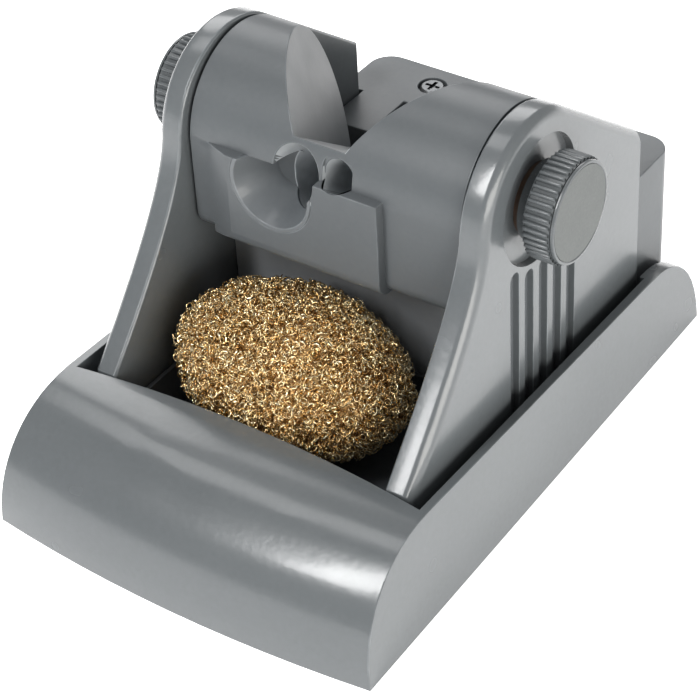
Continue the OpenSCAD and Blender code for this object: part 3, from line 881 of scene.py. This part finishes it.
# %% Shavings tree
def shavings_tree(name, material):
    """Coils of ribbon strewn on a lumpy ball that is flat below the floor height."""
    tree, given, result = new_tree(
        name, **{"Half width": "Float", "Half depth": "Float", "Half height": "Float",
                 "Lumps": "Float", "Floor": "Float", "Coils per area": "Float",
                 "Coil radius": "Float", "Ribbon width": "Float", "Seed": "Int"})
    ball = add(tree, "GeometryNodeMeshIcoSphere", [("Radius", 1.0), ("Subdivisions", 5)])
    oval = moved(tree, ball.outputs[0], "Scale", vector_of(
        tree, given["Half width"], given["Half depth"], given["Half height"]))
    lump = add(tree, "ShaderNodeTexNoise", [("Scale", 90.0), ("Detail", 3.0)]).outputs[0]
    swing = times(tree, math_of(tree, "SUBTRACT", lump, 0.5), given["Lumps"])
    push = add(tree, "ShaderNodeVectorMath", [
        (0, add(tree, "GeometryNodeInputNormal").outputs[0]), ("Scale", swing)],
        operation="SCALE")
    lumpy = add(tree, "GeometryNodeSetPosition", [(0, oval), ("Offset", push.outputs[0])])
    x, y, z = add(tree, "ShaderNodeSeparateXYZ", [
        (0, add(tree, "GeometryNodeInputPosition").outputs[0])]).outputs
    above = math_of(tree, "MAXIMUM", z, given["Floor"])
    rested = add(tree, "GeometryNodeSetPosition", [
        (0, lumpy.outputs[0]), ("Position", vector_of(tree, x, y, above))])
    strewn = add(tree, "GeometryNodeDistributePointsOnFaces", [
        (0, rested.outputs[0]), ("Density", given["Coils per area"]),
        ("Seed", given["Seed"])])
    radius, width = given["Coil radius"], given["Ribbon width"]
    coil = add(tree, "GeometryNodeCurveSpiral", [
        ("Resolution", 9), ("Rotations", 0.9), ("Start Radius", radius),
        ("End Radius", times(tree, radius, 0.72)), ("Height", times(tree, radius, 0.9))])
    section = add(tree, "GeometryNodeCurvePrimitiveCircle", [("Resolution", 3)])
    flat = moved(tree, section.outputs[0], "Scale", vector_of(
        tree, times(tree, width, 0.28), times(tree, width, 0.6), 1.0))
    ribbon = add(tree, "GeometryNodeCurveToMesh", [
        (0, coil.outputs[0]), (1, flat), ("Fill Caps", True)])
    tumble = add(tree, "FunctionNodeRandomValue", [
        ("Min", (0.0, 0.0, 0.0)), ("Max", (math.tau, math.tau, math.tau)),
        ("Seed", given["Seed"])], data_type="FLOAT_VECTOR")
    grade = add(tree, "FunctionNodeRandomValue", [
        (2, 0.62), (3, 1.25), ("Seed", given["Seed"])], data_type="FLOAT")
    coils = add(tree, "GeometryNodeInstanceOnPoints", [
        ("Points", strewn.outputs[0]), ("Instance", ribbon.outputs[0]),
        ("Rotation", tumble.outputs[0]), ("Scale", grade.outputs[1])])
    put = add(tree, "GeometryNodeInstanceOnPoints", [
        ("Points", given["Geometry"]), ("Instance", coils.outputs[0])])
    end_tree(tree, put.outputs[0], material, result)
    return tree


BRIGHT_TREE = shavings_tree("bright_shavings", BRIGHT_SHAVINGS)
SHADED_TREE = shavings_tree("shaded_shavings", SHADED_SHAVINGS)
print("shavings tree:", len(BRIGHT_TREE.nodes), "nodes")

# %% [markdown]
# The ball takes its place and its width from the CAD solid. It is a little
# deeper than that solid is high, because it rests in its tray with its
# underside pressed flat. Each layer is set in from the outline by a few
# millimetres, and has its own seed, so that the layers don't repeat.

# %% Ball of shavings
wool_low, wool_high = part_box("brass_wool")
wool_half = (wool_high - wool_low) / 2
wool_half.z = 23.0 * MM
wool_mid = Vector(((wool_low.x + wool_high.x) / 2, (wool_low.y + wool_high.y) / 2,
                   wool_high.z - wool_half.z))
print("ball of shavings:", [round(2 * x / MM, 1) for x in wool_half])


def shavings(name, tree, inset, lumps, density, coil, ribbon, seed):
    """One layer, its sizes in millimetres and its coils per square millimetre."""
    piece = grow(name, tree, [wool_mid], **{
        "Half width": wool_half.x - inset * MM, "Half depth": wool_half.y - inset * MM,
        "Half height": wool_half.z - inset * MM, "Lumps": lumps * MM,
        "Floor": wool_low.z - wool_mid.z + inset * MM, "Coils per area": density * 1e6,
        "Coil radius": coil * MM, "Ribbon width": ribbon * MM, "Seed": seed})
    keep(piece, "wool_tray", "wool_brass", "brass_wool")


shavings("shavings_outer", BRIGHT_TREE, 1.0, 3.4, 0.24, 1.10, 0.44, 3)
shavings("shavings_second", BRIGHT_TREE, 1.8, 3.4, 0.28, 1.10, 0.42, 19)
shavings("shavings_middle", BRIGHT_TREE, 2.4, 2.6, 0.34, 1.05, 0.40, 11)
# The innermost layer wears the darker brass, painted shade.
shavings("shavings_inner", SHADED_TREE, 3.2, 2.6, 0.36, 1.30, 0.50, 27)


# %% [markdown]
# Between the ribbons the eye looks into the ball, where it is dark. A closed
# core under the layers stops the light, and two sizes of waves keep it from
# showing as a smooth ball.

# %% Core under the shavings
def wool_core(name, inset, lumps):
    """A lumpy ball under the layers, its sizes in millimetres."""
    bm = bmesh.new()
    bmesh.ops.create_icosphere(bm, subdivisions=6, radius=1.0)
    floor_z = wool_low.z + 0.3 * MM
    for v in bm.verts:
        d = v.co.normalized()
        p = Vector((d.x * (wool_half.x - inset * MM), d.y * (wool_half.y - inset * MM),
                    d.z * (wool_half.z - inset * MM)))
        wave = noise.noise(p * 90.0) * lumps + noise.noise(p * 520.0) * lumps * 0.5
        v.co = wool_mid + p + d * wave * MM
        v.co.z = max(v.co.z, floor_z)
    mesh = bpy.data.meshes.new(name)
    bm.to_mesh(mesh)
    bm.free()
    piece = new_piece(name, mesh)
    # The core wears the darker brass, painted shade for the inside of the ball.
    set_finish(piece, SHADED_SHAVINGS)
    mesh.shade_smooth()
    keep(piece, "wool_tray", "wool_brass")


wool_core("shavings_core", 4.2, 1.0)

# %% [markdown]
# ## Floor and light
# A pale table and soft lamps are what a small shop uses for such a picture. A
# sky texture would be quicker, but its highlights can't be placed. The key is a
# tall softbox a little to the left of the front, which draws the long highlight
# along the rolled lip and down the edges of the cheeks. A smaller one overhead
# lights the top of the lip. A wide, slightly warm fill on the right lights the
# outer face of the cheek, and one at the back lifts the tops. The table glows a
# little, as a lit table does, and the world is white, so that nothing reflects
# a black room.

# %% Floor
def floor_finish():
    """Pale paper with a faint glow."""
    material, tree, shader = new_finish("pale_floor", Roughness=0.9, Emission_Strength=0.9)
    paper = tones(tree, noise_of(tree, 0.02, 2.0),
                  (0.3, (0.93, 0.93, 0.93)), (0.7, (0.96, 0.96, 0.96)))
    tree.links.new(paper, shader.inputs["Base Color"])
    tree.links.new(paper, shader.inputs["Emission Color"])
    return material


floor_mesh = bpy.data.meshes.new("floor")
floor_mesh.from_pydata([(-4, -4, 0), (4, -4, 0), (4, 4, 0), (-4, 4, 0)], [], [(0, 1, 2, 3)])
floor = new_piece("floor", floor_mesh)
set_finish(floor, floor_finish())
floor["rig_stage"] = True

print("floor laid")

# %% Lamps
LIT = Vector((0.0, 0.0, 0.05))


def lamp(name, toward, distance, width, height, power, color=(1.0, 1.0, 1.0)):
    """A softbox seen from the stand in the direction toward, facing the stand."""
    data = bpy.data.lights.new(name, "AREA")
    data.shape = "RECTANGLE"
    data.size = width
    data.size_y = height
    data.energy = power
    data.color = color
    thing = bpy.data.objects.new(name, data)
    thing.location = LIT + Vector(toward).normalized() * distance
    thing.rotation_euler = (LIT - thing.location).to_track_quat("-Z", "Y").to_euler()
    scene.collection.objects.link(thing)


lamp("key", (-0.215, -0.68, 0.72), 1.0, 0.14, 0.56, 6.4)
lamp("over_left", (-0.40, 0.05, 0.90), 1.0, 0.30, 0.60, 1.8)
lamp("right_fill", (0.85, -0.32, 0.14), 1.1, 0.9, 0.5, 10.0, (1.0, 0.975, 0.93))
lamp("back_left", (-0.45, 0.675, 0.62), 1.1, 0.8, 0.5, 5.0)

# %% World
world = bpy.data.worlds.new("studio")
world.use_nodes = True
sky = world.node_tree.nodes["Background"]
sky.inputs["Color"].default_value = (1.0, 1.0, 1.0, 1.0)
sky.inputs["Strength"].default_value = 0.42
scene.world = world
scene.view_settings.view_transform = "Standard"
print("world strength:", round(sky.inputs["Strength"].default_value, 2))

# %% [markdown]
# ## Sizes, and the end
# Both boxes, of the CAD model and of the visual model, are printed so that they
# can be compared. The visual model may not outgrow the CAD model.

# %% Sizes
visual_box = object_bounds()
for label, box in (("cad", cad_box), ("visual", visual_box)):
    print(label, [[round(x / MM, 2) for x in corner] for corner in box])
